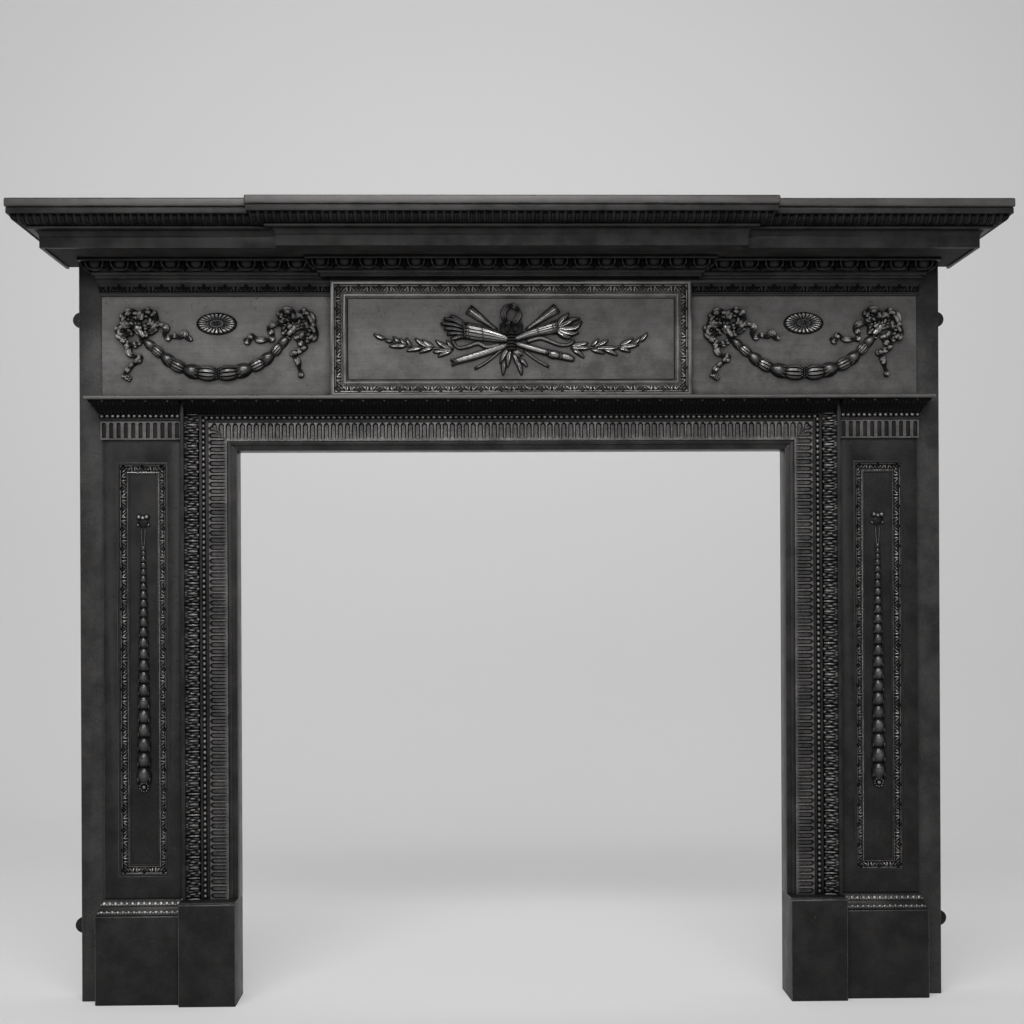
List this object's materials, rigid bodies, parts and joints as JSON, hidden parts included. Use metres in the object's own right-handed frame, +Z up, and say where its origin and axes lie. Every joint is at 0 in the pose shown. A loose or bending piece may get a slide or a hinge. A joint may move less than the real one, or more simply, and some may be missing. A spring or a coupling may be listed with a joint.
{
  "type": "fireplace surround",
  "caption": "Cast iron fireplace surround with a breakfront shelf, garlanded frieze, fluted architrave and panelled pilasters on plinths.",
  "frame": {"origin": "on the hearth, in the middle of the box that holds the surround", "axes": "+X to the right seen from the room, +Y back to the wall, +Z up"},
  "size_m": [1.584, 0.2284, 1.2945],
  "materials": {
    "cast_iron": "blacked, satin, worn brighter on the raised leaves",
    "plain_iron": "blacked, satin, faintly clouded",
    "shelf_iron": "blacked, fine-grained top, worn arris",
    "panel_iron": "polished grey iron, mottled and pitted",
    "ornament_iron": "blacked, semi-gloss",
    "rough_iron": "as cast, dull, hidden at the back",
    "steel_fixings": "plain steel, dulled"
  },
  "bodies": {
    "root": {"shelf_plate": "shelf_iron", "cornice_left": "cast_iron", "cornice_centre": "cast_iron", "cornice_right": "cast_iron", "soffit_plate": "rough_iron", "shelf_rail": "rough_iron", "shelf_ribs": "rough_iron", "egg_dart_left": "cast_iron", "egg_dart_centre": "cast_iron", "egg_dart_right": "cast_iron", "frieze_left": "panel_iron", "frieze_right": "panel_iron", "frieze_cap_left": "cast_iron", "frieze_cap_right": "cast_iron", "tablet_plate": "panel_iron", "tablet_frame": "cast_iron", "tablet_trophy": "ornament_iron", "garland_left": "ornament_iron", "garland_right": "ornament_iron", "ribbon_bows": "ornament_iron", "oval_paterae": "ornament_iron", "ledge": "plain_iron", "lintel_leaf": "cast_iron", "lintel": "cast_iron", "architrave_left": "cast_iron", "architrave_right": "cast_iron", "capital_left": "cast_iron", "capital_right": "cast_iron", "pilaster_left": "plain_iron", "pilaster_right": "plain_iron", "panel_left": "cast_iron", "panel_right": "cast_iron", "husk_drop_left": "ornament_iron", "husk_drop_right": "ornament_iron", "base_mould_left": "cast_iron", "base_mould_right": "cast_iron", "plinth_left": "plain_iron", "plinth_right": "plain_iron", "block_left": "plain_iron", "block_right": "plain_iron", "side_return_left": "plain_iron", "side_return_right": "plain_iron", "fixing_lugs": "plain_iron", "tie_bars": "rough_iron", "corner_plates": "rough_iron", "leg_bolts": "steel_fixings", "leg_nuts": "steel_fixings", "frame_screws": "steel_fixings"}
  },
  "joints": []
}
